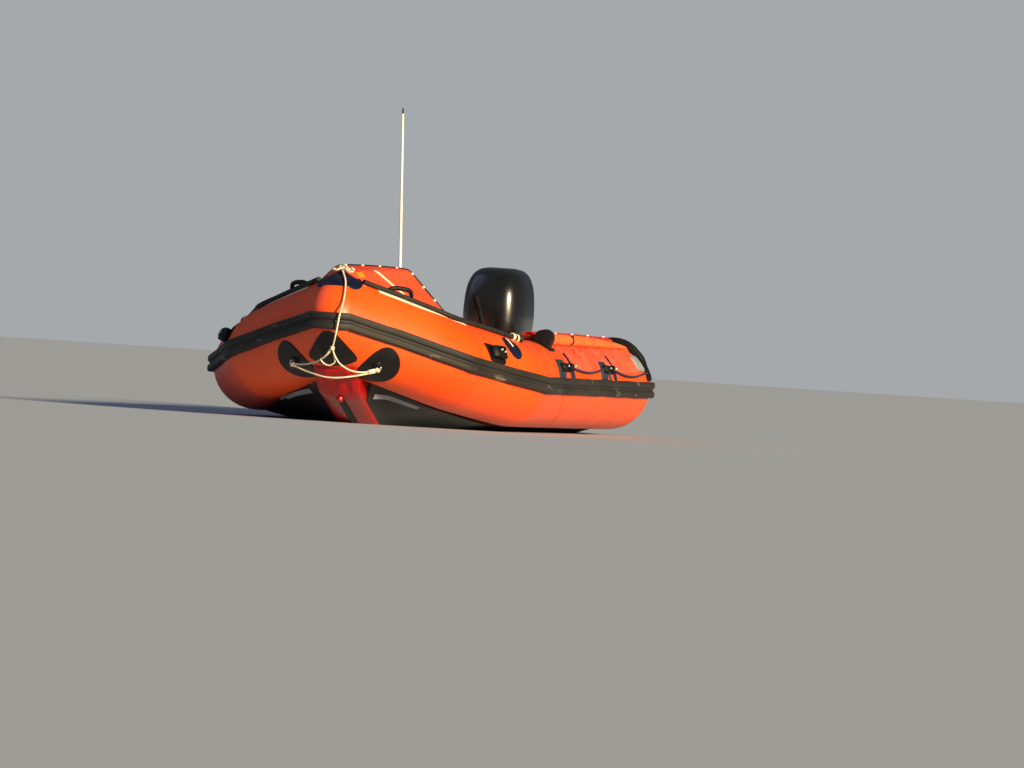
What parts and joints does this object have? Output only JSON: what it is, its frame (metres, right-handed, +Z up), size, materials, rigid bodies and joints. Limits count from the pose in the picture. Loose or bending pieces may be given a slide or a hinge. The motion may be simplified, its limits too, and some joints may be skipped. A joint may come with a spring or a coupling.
{
  "type": "inflatable inshore rescue boat",
  "caption": "Open inflatable rescue boat afloat: raised-bow tubes with a rubbing strake, bow dodger, tow ropes, tilting tiller outboard and folding aerial.",
  "frame": {"origin": "on the waterline amidships, in the middle of the boat", "axes": "+X towards the bow, +Y to port, +Z up"},
  "size_m": [5.0171, 2.0112, 2.3808],
  "materials": {
    "orange_rubber": "matte, coated fabric",
    "black_rubber": "matte, scuffed",
    "red_rubber": "matte, coated fabric",
    "bottom_cloth": "matte, coated fabric",
    "deck_board": "non-slip",
    "transom_board": "painted, satin",
    "orange_cloth": "coated cloth",
    "red_cloth": "coated cloth",
    "navy_patch": "matte",
    "navy_rope": "braided",
    "cream_rope": "braided",
    "fuel_bag_rubber": "matte",
    "engine_paint": "satin",
    "cowling_paint": "gloss",
    "tiller_rubber": "matte, ribbed",
    "propeller_metal": "painted, satin",
    "stainless_steel": "brushed",
    "white_fibreglass": "gloss"
  },
  "bodies": {
    "hull": {"nose_tube": "orange_rubber", "fore_tube_port": "orange_rubber", "fore_tube_starboard": "orange_rubber", "shoulder_tube_port": "orange_rubber", "shoulder_tube_starboard": "orange_rubber", "side_tube_port": "orange_rubber", "side_tube_starboard": "orange_rubber", "strake_bow": "black_rubber", "strake_port": "black_rubber", "strake_starboard": "black_rubber", "edging_port": "black_rubber", "edging_starboard": "black_rubber", "top_handle_port": "black_rubber", "top_handle_starboard": "black_rubber", "square_fitting_port": "black_rubber", "square_fitting_starboard": "black_rubber", "roll_block_port": "black_rubber", "roll_block_starboard": "black_rubber", "end_cover_port": "black_rubber", "end_cover_starboard": "black_rubber", "side_grip_1_port": "black_rubber", "side_grip_1_starboard": "black_rubber", "side_grip_2_port": "black_rubber", "side_grip_2_starboard": "black_rubber", "bow_patch_port": "black_rubber", "bow_patch_starboard": "black_rubber", "centre_patch": "black_rubber", "keel_strip": "black_rubber", "keel_tube": "red_rubber", "bottom_port": "bottom_cloth", "bottom_starboard": "bottom_cloth", "deck_panel_1": "deck_board", "deck_panel_2": "deck_board", "deck_panel_3": "deck_board", "deck_panel_4": "deck_board", "transom": "transom_board", "dodger": "orange_cloth", "stowage_roll_port": "orange_cloth", "stowage_roll_starboard": "orange_cloth", "top_flap_port": "red_cloth", "top_flap_starboard": "red_cloth", "top_patch": "navy_patch", "lifeline_1_port": "navy_rope", "lifeline_1_starboard": "navy_rope", "lifeline_2_port": "navy_rope", "lifeline_2_starboard": "navy_rope", "painter": "cream_rope", "bridle_upper": "cream_rope", "bridle_lower": "cream_rope", "fuel_bag": "fuel_bag_rubber", "clamp_bracket": "engine_paint", "aerial_mount": "stainless_steel"},
    "swivel": {"swivel_bracket": "engine_paint"},
    "outboard": {"leg": "engine_paint", "gearcase": "engine_paint", "cowling": "cowling_paint"},
    "tiller": {"tiller": "tiller_rubber"},
    "propeller": {"propeller": "propeller_metal"},
    "aerial": {"aerial_whip": "white_fibreglass"}
  },
  "joints": [
    {"name": "tilt", "type": "hinge", "parent": "hull", "child": "swivel", "pos_m": [-1.79, 0, 0.408], "axis": [0, 1, 0], "range_deg": [0, 65]},
    {"name": "steer", "type": "hinge", "parent": "swivel", "child": "outboard", "pos_m": [-1.985, 0, 0.2], "axis": [0, 0, 1], "range_deg": [-35, 35]},
    {"name": "tiller_fold", "type": "hinge", "parent": "outboard", "child": "tiller", "pos_m": [-1.668, 0, 0.512], "axis": [0, -1, 0], "range_deg": [0, 50]},
    {"name": "propeller_spin", "type": "hinge", "parent": "outboard", "child": "propeller", "pos_m": [-2.268, 0, -0.36], "axis": [1, 0, 0], "continuous": true},
    {"name": "aerial_fold", "type": "hinge", "parent": "hull", "child": "aerial", "pos_m": [-1.797, -0.56, 0.6], "axis": [0, 1, 0], "range_deg": [0, 90]}
  ]
}
